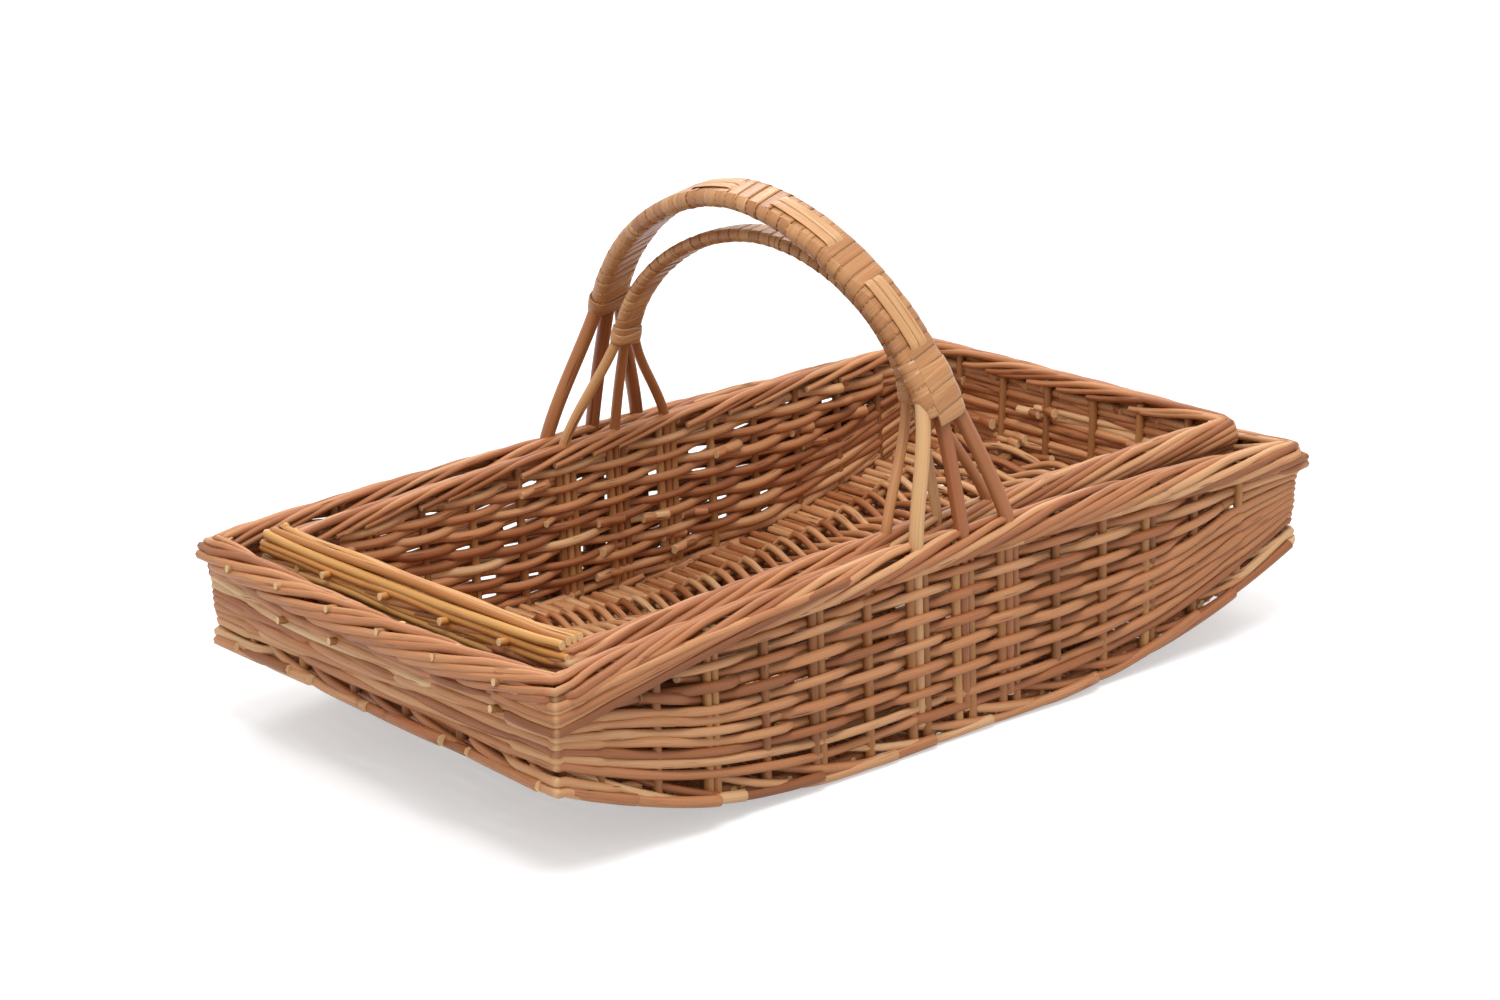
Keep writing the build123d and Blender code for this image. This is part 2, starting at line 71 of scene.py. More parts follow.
def willowFinish(name, look):
    # Willow rod: own tint, grain streaks, bud scars, pale cut or cracked ends, painted highlights
    # at kinks.
    material = bpy.data.materials.new(name)
    material.use_nodes = True
    tree = material.node_tree
    tree.nodes.clear()
    tint, along, around, pale = (
        addNode(tree, "ShaderNodeAttribute", {"attribute_name": kind}).outputs["Fac"]
        for kind in ("tint", "along", "around", "pale"))

    # grain space: turns of the rod across, rod by rod apart, and metres along
    turnAngle = addNode(tree, "ShaderNodeMath", {"operation": "MULTIPLY", 1: 2 * math.pi},
                        {0: around})
    cosine, sine = (
        addNode(tree, "ShaderNodeMath", {"operation": wave}, {0: turnAngle.outputs[0]}).outputs[0]
        for wave in ("COSINE", "SINE"))
    apart = addNode(tree, "ShaderNodeMath", {"operation": "MULTIPLY", 1: grain["apart"]}, {0: tint})
    across = addNode(tree, "ShaderNodeMath", {"operation": "ADD"},
                     {0: cosine, 1: apart.outputs[0]})
    grainPlace = addNode(tree, "ShaderNodeCombineXYZ", links={
        "X": across.outputs[0], "Y": sine, "Z": along})
    # streaks, patches and bud scars, each on its own stretch of the grain
    fields = []
    for size, perMetre, texture, settings, result in (
            ("streak", look["streaks"], "ShaderNodeTexNoise",
             {"Detail": 3.0, "Roughness": 0.6}, "Fac"),
            ("patch", look["patches"], "ShaderNodeTexNoise", {"Detail": 2.0}, "Fac"),
            ("scar", look["scars"], "ShaderNodeTexVoronoi", {}, "Distance")):
        stretch = addNode(tree, "ShaderNodeVectorMath", {
            "operation": "MULTIPLY", 1: (*grain[size], perMetre)}, {0: grainPlace.outputs[0]})
        fields.append(addNode(tree, texture, {"Scale": 1.0, **settings},
                              {"Vector": stretch.outputs[0]}).outputs[result])
    streak, patch, scarField = fields
    inner, outer = grain["scarEdge"]
    scar = addNode(tree, "ShaderNodeMapRange", {1: inner, 2: outer, 3: 1.0, 4: 0.0}, {0: scarField})

    # rod tint moved a little by patches, then streaked
    patched = addNode(tree, "ShaderNodeMath", {
        "operation": "MULTIPLY_ADD", 1: look["patchShare"], 2: -look["patchShare"] / 2}, {0: patch})
    mixed = addNode(tree, "ShaderNodeMath", {"operation": "ADD", "use_clamp": True},
                    {0: tint, 1: patched.outputs[0]})
    bark = addNode(tree, "ShaderNodeValToRGB", links={"Fac": mixed.outputs[0]})
    stops = bark.color_ramp.elements
    while len(stops) > 1:
        stops.remove(stops[-1])
    stops[0].position, stops[0].color = look["tints"][0][0], linearColour(look["tints"][0][1])
    for place, colour in look["tints"][1:]:
        stops.new(place).color = linearColour(colour)
    low, high = grain["band"]
    streakDark = addNode(tree, "ShaderNodeMapRange",
                         {1: low, 2: high, 3: look["streakDark"], 4: 1.0}, {0: streak})
    streaked = addNode(tree, "ShaderNodeMix", {
        "data_type": "RGBA", "blend_type": "MULTIPLY", 0: 1.0},
        {6: bark.outputs["Color"], 7: streakDark.outputs[0]})
    scarred = addNode(tree, "ShaderNodeMix", {"data_type": "RGBA", 7: linearColour(look["scar"])},
                      {0: scar.outputs[0], 6: streaked.outputs[2]})
    # the pale wood of cut ends, and in the same pale the painted highlight at each kink
    cutEndsAndKinkHighlights = addNode(tree, "ShaderNodeMix", {"data_type": "RGBA", 7: linearColour(look["cut"])},
                    {0: pale, 6: scarred.outputs[2]})

    raised = addNode(tree, "ShaderNodeBump", {
        "Strength": look["bump"], "Distance": grain["relief"]}, {"Height": streak})
    spread = grain["roughnessSpread"]
    shine = addNode(tree, "ShaderNodeMapRange", {
        1: low, 2: high, 3: look["roughness"] - spread, 4: look["roughness"] + spread}, {0: streak})
    surface = addNode(tree, "ShaderNodeBsdfPrincipled", {"IOR": 1.45}, {
        "Base Color": cutEndsAndKinkHighlights.outputs[2], "Roughness": shine.outputs[0], "Normal": raised.outputs[0]})
    addNode(tree, "ShaderNodeOutputMaterial", links={"Surface": surface.outputs[0]})
    return material


# Steamed willow, bark stripped after boiling: red-brown to honey, satin, no two rods alike.
buffWillow = willowFinish("buffWillow", dict(
    tints=[(0.0, "#8A4F26"), (0.3, "#AB693E"), (0.6, "#C48556"), (0.85, "#D5A070"),
           (1.0, "#E2BB8C")],
    scar="#6B3F22", cut="#DDBB8A", streaks=14, patches=22, scars=26,
    patchShare=0.4, streakDark=0.68, roughness=0.5, bump=0.4))

# The same willow lying in shade, as stakes and base rods: browner and duller.
brownWillow = willowFinish("brownWillow", dict(
    tints=[(0.0, "#6E3F20"), (0.35, "#8E5930"), (0.7, "#AC7442"), (1.0, "#C8955C")],
    scar="#593419", cut="#D2AE7C", streaks=14, patches=20, scars=24,
    patchShare=0.3, streakDark=0.7, roughness=0.55, bump=0.35))

# Younger rods with their skins rubbed: orange gold and almost unstreaked.
goldenWillow = willowFinish("goldenWillow", dict(
    tints=[(0.0, "#96552A"), (0.4, "#AE6C30"), (0.75, "#C0803A"), (1.0, "#CE9854")],
    scar="#6C3E1E", cut="#DDBB8A", streaks=8, patches=12, scars=14,
    patchShare=0.3, streakDark=0.78, roughness=0.42, bump=0.3))

# Whole handle rods: smooth, thicker, long faint streaks, a little shinier.
handleWillow = willowFinish("handleWillow", dict(
    tints=[(0.0, "#7E4424"), (0.4, "#A2623A"), (0.75, "#BC8450"), (1.0, "#D2A978")],
    scar="#6B3F22", cut="#DDBB8A", streaks=8, patches=12, scars=10,
    patchShare=0.25, streakDark=0.78, roughness=0.4, bump=0.3))

# Skein: willow split and shaved flat, golden and glossy on its outer skin.
skeinWillow = willowFinish("skeinWillow", dict(
    tints=[(0.0, "#85522E"), (0.4, "#AC7446"), (0.75, "#C6915F"), (1.0, "#DCB483")],
    scar="#8A5A2C", cut="#E2C08C", streaks=20, patches=30, scars=8,
    patchShare=0.5, streakDark=0.7, roughness=0.34, bump=0.3))
print("finishes made")


def rodTree(name, flat):
    # lines with radius, tint, along and pale become rods, round or flat, with capped ends
    tree = bpy.data.node_groups.new(name, "GeometryNodeTree")
    face = tree.interface
    face.new_socket("Lines", in_out="INPUT", socket_type="NodeSocketGeometry")
    for label, kind, value in (("Sides", "NodeSocketInt", 7),
                               ("Thickness Share", "NodeSocketFloat", 1.0),
                               ("Finish", "NodeSocketMaterial", None)):
        socket = face.new_socket(label, in_out="INPUT", socket_type=kind)
        if value is not None:
            socket.default_value = value
    face.new_socket("Rods", in_out="OUTPUT", socket_type="NodeSocketGeometry")
    given = addNode(tree, "NodeGroupInput")
    curve = addNode(tree, "GeometryNodeMeshToCurve", links={"Mesh": given.outputs["Lines"]})
    radius = addNode(tree, "GeometryNodeInputNamedAttribute", {"Name": "radius"})
    sized = addNode(tree, "GeometryNodeSetCurveRadius", links={
        "Curve": curve.outputs[0], "Radius": radius.outputs[0]})
    path = sized.outputs[0]
    if flat:
        facing = addNode(tree, "GeometryNodeInputNamedAttribute", {"data_type": "FLOAT_VECTOR",
                         "Name": "facing"})
        path = addNode(tree, "GeometryNodeSetCurveNormal", {"mode": "FREE"},
                       {"Curve": path, "Normal": facing.outputs[0]}).outputs[0]
    ring = addNode(tree, "GeometryNodeCurvePrimitiveCircle", {"Radius": 1.0},
                   {"Resolution": given.outputs["Sides"]})
    squeeze = addNode(tree, "ShaderNodeCombineXYZ", {"Y": 1.0, "Z": 1.0},
                      {"X": given.outputs["Thickness Share"]})
    shaped = addNode(tree, "GeometryNodeTransform", links={
        "Geometry": ring.outputs[0], "Scale": squeeze.outputs[0]})
    share = addNode(tree, "GeometryNodeSplineParameter")
    marked = addNode(tree, "GeometryNodeStoreNamedAttribute", {"Name": "around"},
                     {"Geometry": shaped.outputs[0], "Value": share.outputs["Factor"]})
    sizeBack = addNode(tree, "GeometryNodeInputNamedAttribute", {"Name": "radius"})
    swept = addNode(tree, "GeometryNodeCurveToMesh", {"Fill Caps": True}, {
        "Curve": path, "Profile Curve": marked.outputs[0], "Scale": sizeBack.outputs[0]})
    smooth = addNode(tree, "GeometryNodeSetShadeSmooth", links={"Geometry": swept.outputs[0]})
    real = addNode(tree, "GeometryNodeRealizeInstances", links={"Geometry": smooth.outputs[0]})
    finished = addNode(tree, "GeometryNodeSetMaterial", links={
        "Geometry": real.outputs[0], "Material": given.outputs["Finish"]})
    addNode(tree, "NodeGroupOutput", links={"Rods": finished.outputs[0]})
    return tree


roundRods = rodTree("roundRods", False)
flatSkeins = rodTree("flatSkeins", True)


cutEnd = dict(depth=0.04, narrow=0.93)  # a cut end's cap, in shares of a step and of the radius


def rod(points, radius, tint, pale=0.0, cutEnds=True, facing=None):
    # one rod: its line, radius or taper, tint and pale places; a cut end gets a pale cap
    points = np.asarray(points, float)
    count = len(points)
    radius = np.broadcast_to(np.asarray(radius, float), (count,)).copy()
    pale = np.broadcast_to(np.asarray(pale, float), (count,)).copy()
    if cutEnds:
        first = points[0] + (points[1] - points[0]) * cutEnd["depth"]
        last = points[-1] + (points[-2] - points[-1]) * cutEnd["depth"]
        points = np.vstack([points[:1], first, points[1:-1], last, points[-1:]])
        narrow = cutEnd["narrow"]
        radius = np.concatenate([radius[:1] * narrow, radius, radius[-1:] * narrow])
        pale = np.concatenate([[1.0], pale, [1.0]])
        if facing is not None:
            facing = np.vstack([facing[:1], facing, facing[-1:]])
    return dict(points=points, radius=radius, tint=tint, pale=pale, facing=facing)


def makeRods(label, trug, rods, finish, stands, sides=7, thicknessShare=1.0):
    # turns a list of rods into one plain mesh that rides the trug's body and stands for its nodes
    name = trug["name"] + label
    rods = list(rods)
    flat = rods[0]["facing"] is not None
    points, radius, tint, along, pale, facing, edges = [], [], [], [], [], [], []
    for piece in rods:
        start = edges[-1][1] + 1 if edges else 0
        line = inFrame(trug, piece["points"])
        steps = np.linalg.norm(np.diff(line, axis=0), axis=1)
        count = len(line)
        points.append(line)
        radius.append(piece["radius"] * mm)
        tintNear, tintFar = np.broadcast_to(piece["tint"], (2,))
        change = easeShare(np.linspace(0, 1, count), 0.35, 0.65)  # a pair of tints meets midway
        tint.append(tintNear + (tintFar - tintNear) * change)
        # each rod starts elsewhere in the grain
        along.append(np.concatenate([[0.0], np.cumsum(steps)]) + tintNear * 3)
        pale.append(piece["pale"])
        if flat:
            facing.append(turnedOnly(trug, piece["facing"]))
        edges.extend((start + i, start + i + 1) for i in range(count - 1))
    mesh = bpy.data.meshes.new(name + "Lines")
    mesh.from_pydata(np.vstack(points), edges, [])
    for kind, values in (("radius", radius), ("tint", tint), ("along", along), ("pale", pale)):
        mesh.attributes.new(kind, "FLOAT", "POINT").data.foreach_set(
            "value", np.concatenate(values).astype(np.float32))
    if flat:
        mesh.attributes.new("facing", "FLOAT_VECTOR", "POINT").data.foreach_set(
            "vector", np.vstack(facing).astype(np.float32).ravel())
    lines = bpy.data.objects.new(name + "Lines", mesh)
    bpy.context.scene.collection.objects.link(lines)
    tree = flatSkeins if flat else roundRods
    modifier = lines.modifiers.new("rods", "NODES")
    modifier.node_group = tree
    known = {s.name: s.identifier for s in tree.interface.items_tree if s.in_out == "INPUT"}
    modifier[known["Sides"]] = sides
    modifier[known["Thickness Share"]] = thicknessShare
    modifier[known["Finish"]] = finish
    seen = bpy.context.evaluated_depsgraph_get()
    whole = bpy.data.meshes.new_from_object(lines.evaluated_get(seen), depsgraph=seen)
    bpy.data.objects.remove(lines)
    whole.name = name
    piece = bpy.data.objects.new(name, whole)
    bpy.context.scene.collection.objects.link(piece)
    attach(piece, trug["body"])
    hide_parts(*[trug["name"] + "_" + n for n in stands])
    print(name, "rods", len(rods), "triangles", sum(len(p.vertices) - 2 for p in whole.polygons))


# the trugs' shapes, as the frame has them, each in its own millimetres
outerTrug = dict(
    name="outer", body="outer_trug", origin=(0.0, 0.0, 0.0), turnDegrees=0.0,
    rimLength=580, rimWidth=330, footLength=577, footWidth=321, cornerHeight=113.5,
    rimCrown=8, rimWaist=7, rimRise=0, endBow=3, endLift=51, flatLength=140,
    border=17, rimDepth=14, footDepth=14, stakePitch=38, legPitch=35, legSkew=10.5,
    rows=13, rodRadius=2.9, stakeRadius=2.9, baseRodPitch=5.7, borderPitch=27,
    baseThickness=11, baseSticks=5, baseWave=2.7, floorLift=0, endSag=6, endStakes=6)

innerTrug = dict(
    name="inner", body="inner_trug", origin=(1.0, 0.0, 11.3), turnDegrees=1.3,
    rimLength=532, rimWidth=272, footLength=526, footWidth=262, cornerHeight=109.5,
    rimCrown=3, rimWaist=1, rimRise=9, endBow=2, endLift=46, flatLength=134,
    border=15, rimDepth=13, footDepth=13, stakePitch=36, legPitch=40, legSkew=9,
    rows=15, rodRadius=2.7, stakeRadius=2.7, baseRodPitch=5.5, borderPitch=27,
    baseThickness=11, baseSticks=5, baseWave=5.0, floorLift=11, endSag=1.5, endStakes=6)


def inFrame(trug, points):
    # from a trug's own millimetres to the frame's metres
    return (turnedOnly(trug, points) + np.array(trug["origin"])) * mm


def turnedOnly(trug, points):
    a = math.radians(trug["turnDegrees"])
    turn = np.array([[math.cos(a), -math.sin(a), 0], [math.sin(a), math.cos(a), 0], [0, 0, 1]])
    return np.asarray(points, float) @ turn.T


def halves(trug):
    # half the lengths and widths, at the foot and at the rim
    return [trug[size] / 2 for size in ("footLength", "footWidth", "rimLength", "rimWidth")]


def rockerAt(trug, x):
    run = trug["footLength"] / 2 - trug["flatLength"] / 2
    radius = (run**2 + trug["endLift"]**2) / (2 * trug["endLift"])
    out = np.clip(np.abs(x) - trug["flatLength"] / 2, 0, radius * 0.9)
    return radius - np.sqrt(radius**2 - out**2)


def middleShare(trug, x):
    return 1 - (2 * np.asarray(x, float) / trug["rimLength"]) ** 2


def rimTopAt(trug, x):
    return (trug["cornerHeight"] + trug["rimCrown"] * middleShare(trug, x)
            + trug["rimRise"] * np.asarray(x, float) / trug["rimLength"])


def easeShare(value, low, high):
    s = np.clip((np.asarray(value, float) - low) / (high - low), 0, 1)
    return s * s * (3 - 2 * s)


def wander(count, reach, every):
    # a smooth random drift along a rod, about one swing each so many points
    knots = max(int(count / every) + 2, 3)
    values = chance.normal(0, reach, knots)
    at = np.linspace(0, knots - 1.001, count)
    low = at.astype(int)
    return values[low] + (values[low + 1] - values[low]) * easeShare(at - low, 0, 1)


# how a rod turns a corner: kinked round the post and not curved, with a mitre
cornerTurn = dict(bend=2.2, mitre=1.38, near=30, kinks=((15, 0.99), (45, 1.0), (75, 0.99)))


def wallRing(trug, heightShare, step=5.0):
    # the closed line round the four walls at one height share, counter-clockwise from the front
    # left corner: points, ways outward, sides, places along each side, nearness to a corner
    footX, footY, headX, headY = (half - trug["border"] / 2 for half in halves(trug))
    cornerX = footX + (headX - footX) * heightShare
    cornerY = footY + (headY - footY) * heightShare
    bend, mitre = cornerTurn["bend"], cornerTurn["mitre"]
    points, outs, sideNames, places, corners = [], [], [], [], []
    for side, out, reach, other, signs, facing in (
            ("front", (0, -1), cornerX, cornerY, (1, -1), -90),
            ("right", (1, 0), cornerY, cornerX, (1, 1), 0),
            ("back", (0, 1), cornerX, cornerY, (-1, 1), 90),
            ("left", (-1, 0), cornerY, cornerX, (-1, -1), 180)):
        count = max(int(2 * (reach - bend) / step), 8)
        for i in range(count + 1):
            p = -(reach - bend) + 2 * (reach - bend) * i / count
            # the ends bow out and the long sides have a waist
            away = other + heightShare * (trug["endBow"] * (1 - (p / reach) ** 2) if out[0]
                                          else -trug["rimWaist"] * float(middleShare(trug, p)))
            points.append((out[0] * away - out[1] * p, out[1] * away + out[0] * p))
            outs.append(out)
            sideNames.append(side)
            places.append(p if side in ("front", "right") else -p)
            corners.append(float(easeShare(reach - abs(p), cornerTurn["near"], bend / 2)))
        for turn, kinked in cornerTurn["kinks"]:
            a, middle = math.radians(facing + turn), math.radians(facing + 45)
            points.append((signs[0] * (cornerX - bend) + bend * math.cos(a),
                           signs[1] * (cornerY - bend) + bend * math.sin(a)))
            outs.append((mitre * math.cos(middle), mitre * math.sin(middle)))
            sideNames.append(side + "Corner")
            places.append(places[-1])
            corners.append(kinked)
    return tuple(np.array(kept) for kept in (points, outs, sideNames, places, corners))


def ringAlong(flat):
    # a ring's steps, the way gone at each of its points, and the whole way
    steps = np.linalg.norm(np.roll(flat, -1, 0) - flat, axis=1)
    return steps, np.concatenate([[0], np.cumsum(steps)[:-1]]), steps.sum()


def ringTop(trug, flat):
    # height of the rim over each point of a ring
    rimX = halves(trug)[2]
    return rimTopAt(trug, np.clip(flat[:, 0], -rimX, rimX))


def ringLine(flat, outs, index, out, height):
    # a line along the ring, moved outwards and set to its heights
    return np.column_stack([
        flat[index] + outs[index] * np.broadcast_to(out, (len(index),))[:, None], height])


def borderPlaces(flat, pitch, lengths, jitter):
    # for each border rod: the way gone along it, its length, and the ring's points it passes
    _, along, total = ringAlong(flat)
    number = round(total / pitch)
    for i in range(number):
        begin = total * (i + between(-jitter, jitter)) / number
        length = between(*lengths)
        gone = np.arange(0, length, 5.0)
        yield gone, length, np.searchsorted(along, (begin + gone) % total) % len(flat)


def legPlaces(trug, side):
    return [-side * trug["legSkew"] + k * trug["legPitch"] for k in (-1, 0, 1)]


def longStakes(trug, side):
    legs = legPlaces(trug, side)
    edge = trug["footLength"] / 2 - trug["border"] - trug["stakeRadius"] * 2
    right = list(np.arange(legs[-1] + trug["stakePitch"], edge, trug["stakePitch"]))
    left = list(np.arange(legs[0] - trug["stakePitch"], -edge, -trug["stakePitch"]))
    return sorted(left + legs + right)


def endStakes(trug):
    reach, number = trug["footWidth"] / 2 - trug["border"], trug["endStakes"]
    return [-reach + 2 * reach * (i + 0.5) / number for i in range(number)]


def rowHeight(trug, x, share):
    # height of a wall row: fanned between the rocker foot and the rim
    inside = trug["footLength"] / 2 - 8
    x = np.clip(x, -inside, inside)
    low = rockerAt(trug, x) + trug["footDepth"]
    high = rimTopAt(trug, x) - trug["rimDepth"]
    return low + (high - low) * share


# where rows gather and lie calmer, how far they stand out on each wall, and where rods begin
weave = dict(step=4.5, gather=(165, 262), calmLow=(105, 182), calmHigh=(235, 262), calmShare=0.72,
             calmOut=0.45, waledRows=2, roundness=0.75, back=0.46, front=0.64, ends=0.68,
             lift=dict(front=1.5, back=0.6), topRows=4, topBegin=(15, 22), longCut=(20, 60),
             endCut=(5, 50), shortReach=(185, 240))


def weaveWalls(trug):
    # rows woven round stakes, dense at the ends, waled at the foot
    rows = trug["rows"]
    touch = trug["stakeRadius"] + trug["rodRadius"]
    stakes = {"front": longStakes(trug, -1), "back": longStakes(trug, 1),
              "right": endStakes(trug), "left": endStakes(trug)}
    # every second row goes all round, and so do all the low ones
    fullRows = [k for k in range(rows) if k % 2 == 0 or k < rows / 2]
    for k in range(rows):
        middle = (k + 0.5) / rows
        atCorner = (sum(f < k for f in fullRows) + 0.5) / len(fullRows)
        flat, outs, sides, places, corners = wallRing(trug, middle, weave["step"])
        x, y = flat[:, 0], flat[:, 1]
        share = middle + (atCorner - middle) * easeShare(np.abs(x), *weave["gather"])
        height = rowHeight(trug, x, share)
        sway = np.zeros(len(x))
        for side, posts in stakes.items():
            on = sides == side
            index = np.interp(places[on], posts, range(len(posts)),
                              left=-0.6, right=len(posts) - 0.4)
            if side in ("front", "back"):
                swing = np.cos(math.pi * (index + k))
                sway[on] = (0.35 + 0.65 * np.cos(2 * math.pi * (index + k) / 3)
                            if k < weave["waledRows"]
                            else np.sign(swing) * np.abs(swing) ** weave["roundness"])
                calm = easeShare(np.abs(places[on]),
                                 *weave["calmLow" if k < rows / 2 else "calmHigh"])
                sway[on] = sway[on] * (1 - weave["calmShare"] * calm) + weave["calmOut"] * calm
                height[on] += weave["lift"][side] * sway[on]
            else:
                sway[on] = 0.4 + 0.36 * np.cos(2 * math.pi * (index + k) / 3)
                height[on] -= trug["endSag"] * share[on] * (1 - (places[on] / posts[-1]) ** 2)
        sway = sway * (1 - corners) + weave["calmOut"] * corners
        height = height + wander(len(x), 0.5, 14) * (1 - 0.6 * corners)
        # stiff rods hardly bend on the back walls, a little more in front
        sway = sway * touch * np.where(outs[:, 1] > 0.5, weave["back"], np.where(
            outs[:, 1] < -0.5, weave["front"], weave["ends"]))
        line = np.column_stack([x + outs[:, 0] * sway, y + outs[:, 1] * sway, height])
        count = len(line)
        if k in fullRows:
            begins = {side: int(np.flatnonzero(sides == side)[0]) for side in stakes}
            if k >= rows - weave["topRows"]:  # these leave room for the rods that rise
                spans = [(begins["front"] + chance.integers(*weave["topBegin"]),
                          begins["back"] + 3),
                         (begins["back"] + chance.integers(*weave["topBegin"]), count + 3)]
            else:
                cuts = [begins[side] + chance.integers(*weave[cut]) for side, cut in (
                    ("front", "longCut"), ("right", "endCut"), ("back", "longCut"),
                    ("left", "endCut"))]
                spans = [(c, (cuts[i + 1] if i < 3 else cuts[0] + count) + 5)
                         for i, c in enumerate(cuts)]
            for begin, end in spans:
                index = np.arange(begin, end) % count
                yield weaver(trug, line[index], outs[index], corners[index])
        else:
            for side in ("front", "back"):
                reach = between(*weave["shortReach"], 2)
                on = np.flatnonzero((sides == side) & (x > -reach[0]) & (x < reach[1]))
                split = chance.integers(len(on) // 4, 3 * len(on) // 4)
                for part in (on[:split + 6], on[split:]):
                    yield weaver(trug, line[part], outs[part], corners[part])
    yield from risingRods(trug)


def kinkHighlight(corners):
    # a painted highlight, pale, where a rod is kinked round a post
    return between(0.1, 0.6) * (np.asarray(corners) > 0.999)


def weaver(trug, line, outs, corners):
    # a weaving rod, thick at its butt, whose ends tuck behind a stake inside the wall
    count = len(line)
    butt = trug["rodRadius"] * between(1.04, 1.18)
    tip = trug["rodRadius"] * between(0.8, 0.94)
    taper = np.linspace(butt, tip, count)
    if chance.random() < 0.5:
        taper = taper[::-1]
    if outs[count // 2][1] > 0.5:  # the back walls are packed tight but for their middle
        taper = taper * (1 + 0.2 * easeShare(np.abs(line[:, 0] + 25), 50, 130))
    at = np.arange(count)
    tuck = np.maximum(easeShare(at, 4, 0), easeShare(at, count - 5, count - 1))
    line = line.copy()
    line[:, :2] -= outs * (tuck * 4.0)[:, None]
    return rod(line, taper, chance.beta(1.7, 1.6), kinkHighlight(corners))


# the stack of rods on each corner, and the way they take up to the rim
rising = dict(heightShare=0.93, levels=6, pitch=3.7, climb=75, climbMore=21, taper=(1.0, 0.74))


def risingRods(trug):
    # rods that come round a corner stacked on the post and fan up into the rim of the long side
    flat, outs, sides, _, corners = wallRing(trug, rising["heightShare"])
    steps = ringAlong(flat)[0]
    for side in ("front", "back"):
        start = int(np.flatnonzero(sides == side)[0])
        for level in range(rising["levels"]):
            before = int(chance.integers(9, 16))
            after = int(27 + 4 * level + chance.integers(-3, 4))
            index = np.arange(start - before, start + after) % len(flat)
            gone = np.cumsum(steps[index]) - steps[index[:before]].sum()
            drop = trug["rimDepth"] - 4 + rising["pitch"] * level + between(-0.5, 0.5)
            risen = np.clip(gone / (rising["climb"] + rising["climbMore"] * level), 0, 1)
            z = (ringTop(trug, flat)[index] - drop + (drop - 9.5 + 0.4 * level) * risen
                 - 1.5 * easeShare(corners[index], 0, 0.4))
            # it leans out past the wall and tucks in at both ends
            out = (5.2 + 1.6 * easeShare(gone, 5, 60)
                   - 7.0 * easeShare(gone, 5.0 * after - 22, 5.0 * after))
            out = out - 5.5 * easeShare(gone, -5.0 * before + 25, -5.0 * before)
            out = out + (0.9 if level % 2 else -0.7) + wander(len(index), 0.4, 12)
            out = out * (1 - 0.35 * corners[index])
            line = ringLine(flat, outs, index, smoothed(out), smoothed(z))
            taper = np.linspace(*rising["taper"], len(index)) * trug["rodRadius"]
            yield rod(line, taper, chance.beta(1.1, 1.3), kinkHighlight(corners[index]))


def rodLine(x, y, z, count):
    # points of a straight rod, each value a pair from foot to head
    return [tuple(a + (b - a) * s for a, b in (x, y, z)) for s in np.linspace(0, 1, count)]


# stakes in ones and pairs, and always two beside a leg; stub rows by height and share of stakes
stake = dict(besideLeg=(-5.6, 5.2), pair=(-2.6, 2.6), pairShare=0.35, taper=(1.1, 0.9), inset=8.5,
             postInset=14.5, postRadius=4.0, stubRadius=2.3, stubRows=((0.83, 1.0), (0.42, 0.55)))


def wallStakes(trug):
    footX, footY, rimX, rimY = halves(trug)
    for side in (-1, 1):
        for place in longStakes(trug, side):
            isLeg = any(abs(place - leg) < 1 for leg in legPlaces(trug, side))
            beside = (stake["besideLeg"] if isLeg else
                      stake["pair"] if chance.random() < stake["pairShare"] else (0.0,))
            for shift in beside:
                x = place + shift
                head = rimY - trug["border"] / 2 - trug["rimWaist"] * float(middleShare(trug, x))
                line = rodLine((x, x), (side * (footY - trug["border"] / 2), side * head),
                               (float(rockerAt(trug, x)) + 3, float(rimTopAt(trug, x)) - 7), 8)
                yield rod(line, np.linspace(*stake["taper"], 8) * trug["stakeRadius"],
                          between(0.3, 0.9))
    for end in (-1, 1):
        inset = stake["inset"]
        for place in endStakes(trug):
            head = end * (rimX - inset)
            line = rodLine((end * (footX - inset), head), (place, place),
                           (trug["endLift"] + 3, float(rimTopAt(trug, head)) - 7), 6)
            yield rod(line, trug["stakeRadius"], between(0.2, 0.8))
        # corner posts, hidden by the rods bent round them, and cut stake ends in two rows
        post = stake["postInset"]
        for side in (-1, 1):
            head = end * (rimX - post)
            line = rodLine((end * (footX - post), head),
                           (side * (footY - post), side * (rimY - post)),
                           (trug["endLift"], float(rimTopAt(trug, head)) - 4), 6)
            yield rod(line, stake["postRadius"], between(0.3, 0.7))
        for level, share in stake["stubRows"]:
            for place in endStakes(trug):
                if chance.random() > share:
                    continue
                low, high = trug["endLift"] + 14, float(rimTopAt(trug, end * rimX)) - 6
                z = low + (high - low) * level + chance.normal(0, 1.6)
                x = end * (rimX - inset + trug["endBow"] * 0.6)
                y = place + 5 + chance.normal(0, 3)
                line = [(x, y, z), (x + end * 4, y + 0.8, z + 0.8),
                        (x + end * 8.6, y + 1.5, z + 1.4)]
                yield rod(line, stake["stubRadius"], between(0.4, 0.9))


# rim rods: their length, radius from butt to tip, and how far inside the border they stay
rimLook = dict(rodLength=(185, 230), radius=(2.8, 2.0), inset=(2.7, 1.5), below=2.8, tintMost=0.92)


